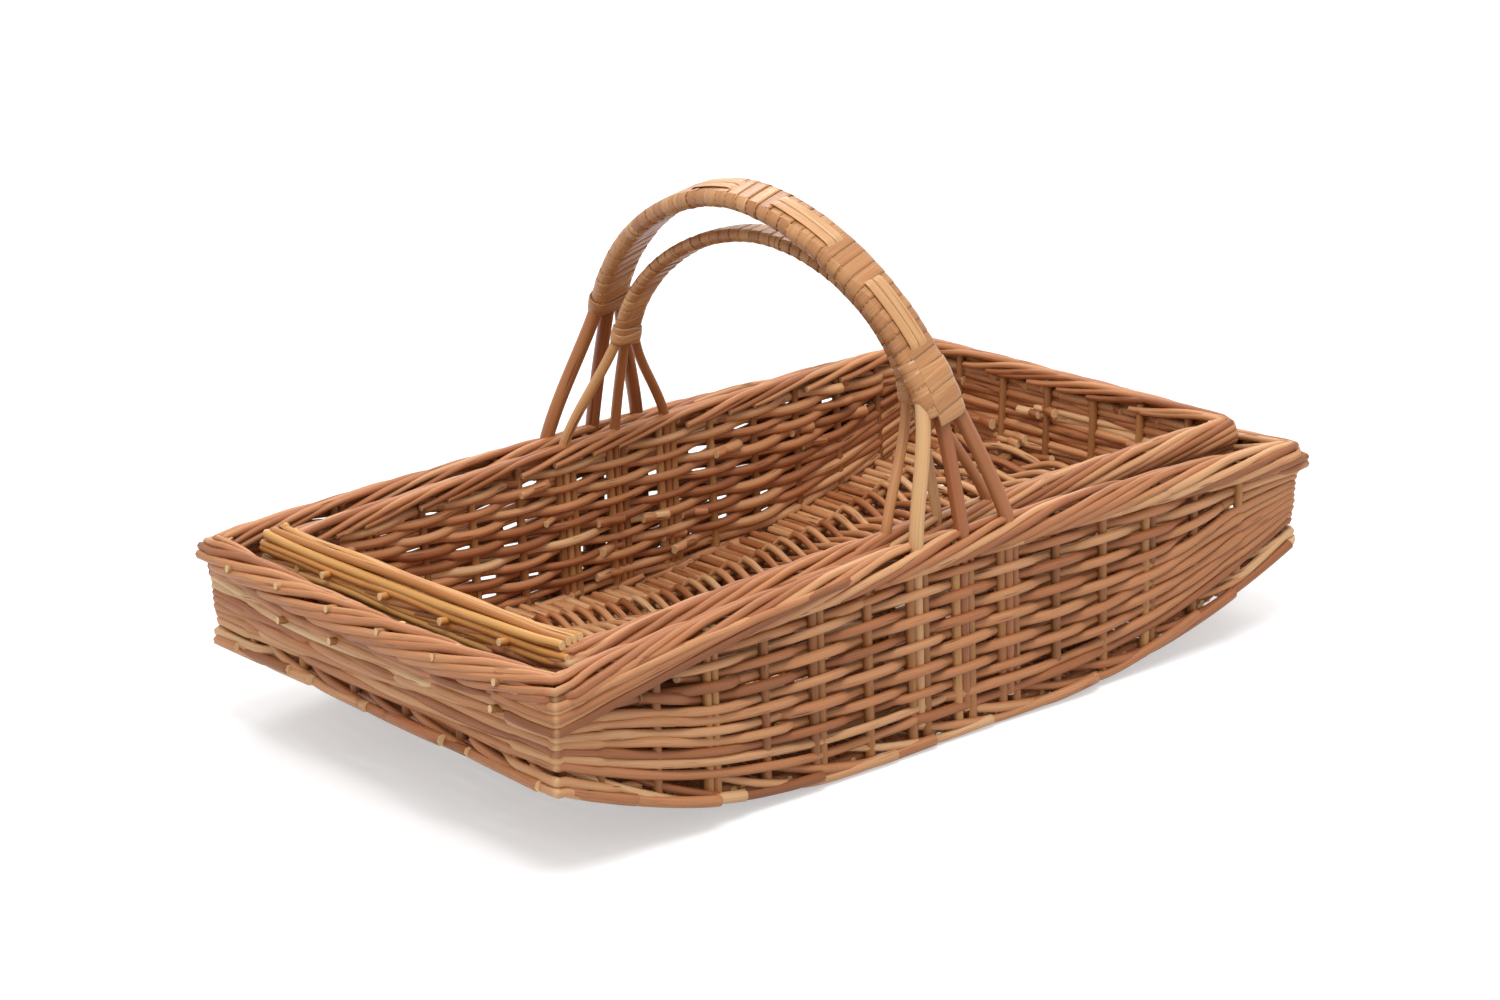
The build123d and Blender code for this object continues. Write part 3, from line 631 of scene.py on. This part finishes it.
def rimBorder(trug):
    # each rod leaves the wall outside, rises over the top and ends inside, one after another
    flat, outs, _, _, corners = wallRing(trug, 1.0)
    halfWidth = trug["border"] / 2 - rimLook["inset"][0]
    halfHeight = trug["rimDepth"] / 2 - rimLook["inset"][1]
    centre = ringTop(trug, flat) - halfHeight - rimLook["below"]
    for gone, length, index in borderPlaces(flat, trug["borderPitch"], rimLook["rodLength"], 0.12):
        s = gone / length
        up = (-1.75 + 2.75 * np.clip(s / 0.5, 0, 1) - 1.7 * easeShare(s, 0.72, 1.0)) * halfHeight
        out = (1.0 - easeShare(s, 0.28, 0.56) - easeShare(s, 0.5, 0.8)) * halfWidth
        out = out - 5.0 * easeShare(s, 0.09, 0.0)
        sag = trug["endSag"] * easeShare(np.abs(flat[index, 0]), 262, 274) * (
            1 - (flat[index, 1] / (trug["rimWidth"] / 2)) ** 2)
        line = ringLine(flat, outs, index, smoothed(out, 3), centre[index] + smoothed(up, 3) - sag)
        radius = np.linspace(*rimLook["radius"], len(s)) * between(0.9, 1.1)
        yield rod(line, radius, rimLook["tintMost"] * chance.beta(2.4, 2.2),
                  kinkHighlight(corners[index]))


# each rod of the bundle: how far outside the wall's line, and how far below the rim
bundle = dict(rods=((-6.4, -2.2), (-2.4, -3.8), (1.8, -3.4), (5.2, -0.2), (6.8, 4.4), (6.5, 9.0),
                    (6.9, 13.6), (6.2, 18.2)),
              radius=(2.3, 2.8), stubs=(-88, -38, 14, 66), stubRadius=2.3, stubTint=0.7)


def endBundle(trug):
    # the inner trug's left end wears a bundle of whole golden rods over and outside its border
    flat, outs, sides, _, corners = wallRing(trug, 0.9)
    start, last = np.flatnonzero(sides == "left")[[0, -1]]
    top = float(rimTopAt(trug, -trug["rimLength"] / 2))
    for level, (aside, drop) in enumerate(bundle["rods"]):
        index = np.arange(start - 3, last + 2 - int(chance.integers(0, 2))) % len(flat)
        swing = np.linspace(0, 1, len(index))
        drift = math.sin(level * 2.3) * np.sin(swing * math.pi * 1.6 + level)
        z = top - drop - 1.0 + 1.3 * drift + wander(len(index), 0.6, 10)
        out = (aside - 0.6 + 0.5 * drift + wander(len(index), 0.3, 14)
               - 2.0 * easeShare(swing, 0.93, 1.0))
        yield rod(ringLine(flat, outs, index, out, z), between(*bundle["radius"]),
                  between(0.45, 1.0), kinkHighlight(corners[index]))
    for place in bundle["stubs"]:
        x, z = -trug["rimLength"] / 2 - 1.0, top - 7 + chance.normal(0, 1)
        line = [(x + 6, place, z), (x, place + 0.5, z + 0.4), (x - 5.5, place + 1, z + 0.8)]
        yield rod(line, bundle["stubRadius"], bundle["stubTint"])


def smoothed(values, rounds=2):
    values = np.array(values, float)
    for _ in range(rounds):
        values[1:-1] = (values[:-2] + 2 * values[1:-1] + values[2:]) / 4
    return values


# foot rods, and the height and reach of the two that turn each corner
footLook = dict(pitch=46, rodLength=(105, 150), radius=(2.4, 3.3), turning=((3.2, 3.4), (8.6, 3.0)),
                ringOut=-4.8, ringUp=6.0, ringRadius=2.7, ringTint=0.35)


def footBorder(trug):
    # long rods that leave the wall behind a stake, drop to the foot edge, lie along it and end cut
    flat, outs, _, _, corners = wallRing(trug, 0.0)
    count = len(flat)
    footX = halves(trug)[0]
    under = rockerAt(trug, np.clip(flat[:, 0], -footX, footX))
    for a, _, index in borderPlaces(flat, footLook["pitch"], footLook["rodLength"], 0.1):
        endRise, endOut = between(-0.3, 4.2), between(1.8, 4.6)
        up = 15.5 - 12.1 * np.clip(a / 66, 0, 1) ** 0.9 + endRise * np.clip((a - 78) / 60, 0, 1)
        out = -4.5 + 7.0 * easeShare(a, 2, 30) + endOut * np.clip((a - 70) / 60, 0, 1)
        line = ringLine(flat, outs, index, smoothed(out), under[index] + smoothed(up))
        radius = np.linspace(*footLook["radius"], len(a)) * between(0.86, 1.08)
        yield rod(line, radius, chance.beta(1.6, 1.5), kinkHighlight(corners[index]))
    # two rods turn each corner, the lowest one at the very edge
    for turned in np.flatnonzero(corners == 1.0):
        for level, (up, out) in enumerate(footLook["turning"]):
            back, ahead = chance.integers(11, 17, 2)
            index = np.arange(turned - back, turned + ahead) % count
            away = np.minimum(np.arange(len(index)), len(index) - 1 - np.arange(len(index)))
            line = ringLine(flat, outs, index, out - 7.5 * easeShare(away, 5, 0),
                            under[index] + up + 1.5 * easeShare(away, 6, 0))
            yield rod(line, 3.0 - 0.2 * level, chance.beta(2.4, 2.0),
                      kinkHighlight(corners[index]))
    # one rod all round inside, against the base rods' ends
    ring = np.arange(count + 1) % count
    line = ringLine(flat, outs, ring, footLook["ringOut"], under[ring] + footLook["ringUp"])
    yield rod(line, footLook["ringRadius"], footLook["ringTint"])


# the floor: its plain wave, where it gets fuller and flat again, its rods and sticks
base = dict(plainWave=2.7, fuller=(0, 120), flatter=(190, 255), lean=2.6, rodRadius=(2.5, 2.75),
            tip=(0.8, 0.92), stickPair=(-2.4, 2.4), stickRadius=2.5)


def floorMiddle(trug, x):
    # middle height of the woven floor, which is fuller on the slopes of the rocker
    away = np.abs(x)
    full = easeShare(away, *base["fuller"]) * (1 - 0.7 * easeShare(away, *base["flatter"]))
    return (rockerAt(trug, x) + trug["baseThickness"] / 2 + trug["baseWave"] - base["plainWave"]
            + trug["floorLift"] * (0.25 + 0.75 * full))


def stickPlaces(trug):
    reach, number = trug["footWidth"] / 2 - trug["border"], trug["baseSticks"]
    return [reach * (2 * (i + 0.5) / number - 1) for i in range(number)]


def baseWeave(trug):
    # cross rods over and under the lengthwise sticks, turn and turn about, tips and butts paired
    reachX = trug["footLength"] / 2 - trug["border"] + 5
    reachY = trug["footWidth"] / 2 - trug["border"]
    number = round(2 * reachX / trug["baseRodPitch"])
    sticks = stickPlaces(trug)
    for i in range(number):
        x = -reachX + 2 * reachX * (i + 0.5) / number + chance.normal(0, 0.3)
        far = reachY + between(4, 8, 2)
        y = np.arange(-far[0], far[1] + 0.1, 4.5)
        index = np.interp(y, sticks, range(len(sticks)), left=-0.55, right=len(sticks) - 0.45)
        # neighbours lean alike
        lean = base["lean"] * np.cos(math.pi * index) * between(0.7, 1.1)
        xs = x + lean + 0.5 * np.sin(math.pi * (index + i)) + wander(len(y), 0.4, 8)
        z = floorMiddle(trug, xs) + trug["baseWave"] * np.cos(math.pi * (index + i))
        radius = (np.linspace(1, between(*base["tip"]), len(y))
                  * between(*base["rodRadius"]))
        if i % 2:
            radius = radius[::-1]
        yield rod(np.column_stack([xs, y, z]), radius, chance.beta(2.4, 1.8))


def baseSticks(trug):
    reach = trug["footLength"] / 2 - trug["border"] / 2
    x = np.arange(-reach, reach + 1, 8.0)
    for y in stickPlaces(trug):
        for pair in base["stickPair"]:
            aside = np.full(len(x), y + pair) + wander(len(x), 0.4, 10)
            yield rod(np.column_stack([x, aside, floorMiddle(trug, x)]),
                      base["stickRadius"], between(0.2, 0.6))


# each rod's tints, near end and far; each binding's turns, reach and width; where leaders show
outerHandle = dict(reach=137.8, spring=161.9, top=289.5, middleX=4.5, lean=-21.3, skew=10.1,
                   power=1.11, rodRadius=4.3, rodStep=9.0, skeinHalf=4.7, turns=42,
                   tints=((0.9, 0.5), (0.35, 0.3), (0.45, 0.35)), ends=(0.32, 0.363),
                   binding=((5, 0.115, 1.0), (2, 0.03, 0.8)),
                   windows=((0.08, 0.2), (0.30, 0.42), (0.52, 0.6)))
innerHandle = dict(reach=106.7, spring=164.2, top=251.8, middleX=-1.3, lean=0.4, skew=15.3,
                   power=1.08, rodRadius=3.1, rodStep=6.3, skeinHalf=3.9, turns=38,
                   tints=((0.65, 0.8), (0.9, 0.5), (0.45, 0.5)), ends=(0.16, 0.15),
                   binding=((3, 0.06, 0.9), (3, 0.045, 0.8)), windows=())


def bowPoint(handle, angle):
    # a point of the bow's centre line, from the near foot at 0 to the far one at pi
    angle = np.asarray(angle, float)
    c = np.cos(angle)
    rise = np.sign(np.sin(angle)) * np.abs(np.sin(angle)) ** handle["power"]
    y = -handle["reach"] * np.sign(c) * np.abs(c) ** handle["power"]
    x = handle["middleX"] + handle["lean"] * rise + handle["skew"] * (-y / handle["reach"])
    z = handle["spring"] + (handle["top"] - handle["spring"]) * rise
    return np.column_stack([np.atleast_1d(x), np.atleast_1d(y), np.atleast_1d(z)])


def bowLine(handle, low, high, count):
    # evenly spaced points between two angles of the bow, and its ways along, outward and sideways
    fine = bowPoint(handle, np.linspace(low, high, 600))
    length = np.concatenate([[0], np.cumsum(np.linalg.norm(np.diff(fine, axis=0), axis=1))])
    at = np.linspace(0, length[-1], count)
    points = np.column_stack([np.interp(at, length, fine[:, j]) for j in range(3)])
    way = np.gradient(points, axis=0)
    way /= np.linalg.norm(way, axis=1)[:, None]
    near, top, far = (bowPoint(handle, [a])[0] for a in (0.0, math.pi / 2, math.pi))
    plane = np.cross(top - near, far - near)
    plane /= np.linalg.norm(plane)
    if plane[0] < 0:
        plane = -plane
    out = np.cross(plane, way)
    out /= np.linalg.norm(out, axis=1)[:, None]
    if np.dot(out[count // 2], points[count // 2] - (near * 0.5 + far * 0.5)) < 0:
        out = -out
    return points, way, out, plane


def legLine(foot, head, tip, tipWay):
    # up inside the wall from foot to head, then in one easy bend to the end of the bow
    rise = (head - foot) / np.linalg.norm(head - foot)
    span = np.linalg.norm(tip - head)
    straight = (tip - head) / span
    leave = straight * 0.75 + rise * 0.25
    arrive = straight * 0.55 + tipWay * 0.45
    s = np.linspace(0, 1, 16)[:, None]
    curve = ((2 * s**3 - 3 * s**2 + 1) * head + (s**3 - 2 * s**2 + s) * leave * span
             + (-2 * s**3 + 3 * s**2) * tip + (s**3 - s**2) * arrive * span)
    return np.vstack([np.linspace(foot, head, 6)[:-1], curve])


def handleRods(trug, handle):
    points, way, _, plane = bowLine(handle, handle["ends"][0] + 0.03,
                                    math.pi - handle["ends"][1] - 0.03, 60)
    _, footY, _, rimY = (half - trug["border"] / 2 for half in halves(trug))
    for k, tints in zip((-1, 0, 1), handle["tints"]):
        shift = plane * (k * handle["rodStep"])
        legs = []
        for side, end, tipWay in ((-1, points[0], way[0]), (1, points[-1], -way[-1])):
            x = legPlaces(trug, side)[k + 1]
            foot = np.array([x, side * footY, float(rockerAt(trug, x)) + trug["footDepth"]])
            head = np.array([x, side * (rimY - trug["rimWaist"]), float(rimTopAt(trug, x)) - 2])
            legs.append(legLine(foot, head, end + shift, tipWay))
        line = np.vstack([legs[0][:-1], points + shift, legs[1][::-1][1:]])
        radius = np.full(len(line), handle["rodRadius"])
        for inWall in (slice(None, 5), slice(-5, None)):
            radius[inWall] *= 0.75
        yield rod(line, radius, tints)


def lapPoint(handle, place, out, plane, turnShare, lift):
    # a point on the flattened loop round the three rods, and the way it faces
    half, r = handle["rodStep"], handle["rodRadius"] + lift
    straight, bend = 2 * half, math.pi * r
    a = (turnShare % 1.0) * (2 * straight + 2 * bend)
    if a < straight:
        w, h, fw, fh = -half + a, r, 0.0, 1.0
    elif a < straight + bend:
        t = (a - straight) / r
        w, h, fw, fh = half + r * math.sin(t), r * math.cos(t), math.sin(t), math.cos(t)
    elif a < 2 * straight + bend:
        w, h, fw, fh = half - (a - straight - bend), -r, 0.0, -1.0
    else:
        t = (a - 2 * straight - bend) / r
        w, h, fw, fh = -half - r * math.sin(t), -r * math.cos(t), -math.sin(t), -math.cos(t)
    return place + plane * w + out * h, plane * fw + out * fh


# the skein's lift and lean, its leaders, and the bindings, whose turns cross a little
skein = dict(samples=20, lift=0.65, liftSpread=0.12, tilt=0.09, width=(0.96, 1.06),
             leaderAside=(-0.37, 0.37), leaderWidth=0.72, leaderLift=0.35, leaderShown=1.5,
             bindSamples=22, bindLift=1.5, bindStep=0.3, bindCross=2.2)


def lapping(handle):
    # one skein turn after turn from collar to collar, and leaders that it lies over and under
    samples, turns = skein["samples"], handle["turns"]
    points, way, out, plane = bowLine(handle, handle["ends"][0], math.pi - handle["ends"][1],
                                      turns * samples + 1)
    for turn in range(turns):
        line, facing = [], []
        lift = skein["lift"] + between(-skein["liftSpread"], skein["liftSpread"])
        tilt = between(0.0, skein["tilt"])  # each turn lies a little over the one before it
        for i in range(turn * samples, (turn + 1) * samples + 1):
            p, f = lapPoint(handle, points[i], out[i], plane, i / samples - 0.02, lift)
            line.append(p)
            facing.append(f + way[i] * tilt)
        yield rod(line, handle["skeinHalf"] * between(*skein["width"]),
                  between(0.38, 0.72), cutEnds=False, facing=np.array(facing))
    s = np.linspace(0, 1, len(points))
    shown = np.zeros(len(s))
    for low, high in handle["windows"]:
        shown = np.maximum(shown, easeShare(s, low - 0.012, low) * easeShare(s, high + 0.012, high))
    height = handle["rodRadius"] + skein["leaderLift"] + skein["leaderShown"] * shown
    for shift in skein["leaderAside"]:
        line = points + plane * (shift * handle["rodStep"]) + out * height[:, None]
        yield rod(line[::4], handle["skeinHalf"] * skein["leaderWidth"],
                  between(0.35, 0.8), facing=out[::4])


def collars(handle):
    # tight turns of skein that bind the three rods where the legs fan out
    samples = skein["bindSamples"]
    middles = (handle["ends"][0], math.pi - handle["ends"][1])
    for (turns, reach, wide), middle, way in zip(handle["binding"], middles, (1, -1)):
        points, along, out, plane = bowLine(handle, middle - way * reach, middle + way * reach,
                                            turns * samples + 1)
        for turn in range(turns):
            line, facing = [], []
            for i in range(turn * samples, (turn + 1) * samples + 1):
                p, f = lapPoint(handle, points[i], out[i], plane, i / samples,
                                skein["bindLift"] + skein["bindStep"] * (turn % 2))
                cross = skein["bindCross"] * (turn % 2 - 0.5) * math.sin(2 * math.pi * i / samples)
                line.append(p + along[i] * cross)
                facing.append(f)
            yield rod(line, handle["skeinHalf"] * wide, between(0.4, 0.75),
                      cutEnds=False, facing=np.array(facing))


four = ("front", "back", "left", "right")
for trug, handle in ((outerTrug, outerHandle), (innerTrug, innerHandle)):
    makeRods("Walls", trug, weaveWalls(trug), buffWillow,
             [f"wall_{s}" for s in four])
    makeRods("Stakes", trug, wallStakes(trug), brownWillow,
             [f"stakes_{s}" for s in four] + ["corner_posts"])
    makeRods("RimBorder", trug, rimBorder(trug), buffWillow,
             [f"rim_border_{s}" for s in four])
    if trug is innerTrug:
        makeRods("EndBundle", trug, endBundle(trug), goldenWillow,
                 ["rim_border_left"])
    makeRods("FootBorder", trug, footBorder(trug), buffWillow,
             [f"foot_border_{s}" for s in four])
    makeRods("BaseWeave", trug, baseWeave(trug), buffWillow,
             ["base_weave"], sides=6)
    makeRods("BaseSticks", trug, baseSticks(trug), brownWillow,
             ["base_sticks"], sides=6)
    makeRods("HandleRods", trug, handleRods(trug, handle), handleWillow,
             [f"handle_rod_{s}" for s in ("left", "middle", "right")], sides=12)
    makeRods("Lapping", trug, lapping(handle), skeinWillow,
             ["handle_lapping"], sides=10, thicknessShare=0.07)
    makeRods("Collars", trug, collars(handle), skeinWillow,
             ["handle_collar_front", "handle_collar_back"], sides=10, thicknessShare=0.12)


def shownRays(tree, hidden, shown):
    # one value for the rays that show the background, another for those that light the object
    rays = addNode(tree, "ShaderNodeLightPath")
    plain = addNode(tree, "ShaderNodeMath", {"operation": "MAXIMUM"},
                    {0: rays.outputs["Is Camera Ray"], 1: rays.outputs["Is Glossy Ray"]})
    seen = addNode(tree, "ShaderNodeMath", {"operation": "MAXIMUM"},
                   {0: plain.outputs[0], 1: rays.outputs["Is Transmission Ray"]})
    return addNode(tree, "ShaderNodeMapRange", {3: hidden, 4: shown},
                   {0: seen.outputs[0]}).outputs[0]


sweep = dict(halfWidth=6.0, grey=0.6, roughness=0.9, gloss=0.1, glow=0.45)  # width in metres


def sweepFinish():
    # matt white floor that the camera sees as pure white but for the object's shadow
    material = bpy.data.materials.new("whiteSweep")
    material.use_nodes = True
    tree = material.node_tree
    surface = tree.nodes["Principled BSDF"]
    surface.inputs["Base Color"].default_value = (sweep["grey"],) * 3 + (1,)
    surface.inputs["Emission Color"].default_value = (1.0, 1.0, 1.0, 1)
    surface.inputs["Roughness"].default_value = sweep["roughness"]
    surface.inputs["Specular IOR Level"].default_value = sweep["gloss"]
    tree.links.new(shownRays(tree, 0.0, sweep["glow"]), surface.inputs["Emission Strength"])
    return material


w = sweep["halfWidth"]
floorMesh = bpy.data.meshes.new("floor")
floorMesh.from_pydata([(-w, -w, 0), (w, -w, 0), (w, w, 0), (-w, w, 0)], [], [(0, 1, 2, 3)])
floor = bpy.data.objects.new("floor", floorMesh)
floor.data.materials.append(sweepFinish())
bpy.context.scene.collection.objects.link(floor)

# soft daylight from all round, a large lamp above the near left, a weaker one behind at right
daylight = dict(onObject=0.86, behind=1.0)
world = bpy.data.worlds.new("studio")
bpy.context.scene.world = world
world.use_nodes = True
worldTree = world.node_tree
worldTree.nodes.clear()
sky = addNode(worldTree, "ShaderNodeBackground", {"Color": (1, 1, 1, 1)},
              {"Strength": shownRays(worldTree, daylight["onObject"], daylight["behind"])})
addNode(worldTree, "ShaderNodeOutputWorld", links={"Surface": sky.outputs[0]})

lamps = dict(
    key=dict(place=(-0.35, -0.45, 2.0), size=1.3, power=32),
    back=dict(place=(1.0, 1.3, 1.7), size=1.3, power=16))
for lampName, lamp in lamps.items():
    light = bpy.data.lights.new(lampName, "AREA")
    light.shape = "DISK"
    light.size = lamp["size"]
    light.energy = lamp["power"]
    holder = bpy.data.objects.new(lampName, light)
    holder.location = lamp["place"]
    holder.rotation_euler = (-Vector(lamp["place"])).to_track_quat("-Z", "Y").to_euler()
    bpy.context.scene.collection.objects.link(holder)

# the photograph's viewpoint: place in millimetres, angles in degrees
viewpoint = dict(place=(-1348.19, -1539.23, 780.78), azimuth=40.91, down=18.29, roll=-1.178,
                 focalPixels=3705.7, imageWidth=1500, sensorWidth=36.0)
az, el, ro = (math.radians(viewpoint[k]) for k in ("azimuth", "down", "roll"))
looking = Vector((math.cos(el) * math.sin(az), math.cos(el) * math.cos(az), -math.sin(el)))
level = Vector((math.cos(az), -math.sin(az), 0))
upright = level.cross(looking)
rightWay = level * math.cos(ro) + upright * math.sin(ro)
upWay = upright * math.cos(ro) - level * math.sin(ro)
cameraData = bpy.data.cameras.new("camera")
cameraData.sensor_width = viewpoint["sensorWidth"]
cameraData.lens = viewpoint["focalPixels"] / viewpoint["imageWidth"] * viewpoint["sensorWidth"]
camera = bpy.data.objects.new("camera", cameraData)
camera.matrix_world = Matrix.Translation(Vector(viewpoint["place"]) * mm) @ Matrix(
    (rightWay, upWay, -looking)).transposed().to_4x4()
bpy.context.scene.collection.objects.link(camera)
bpy.context.scene.camera = camera
bpy.context.scene.view_settings.view_transform = "Standard"
print("floor, light and camera set")
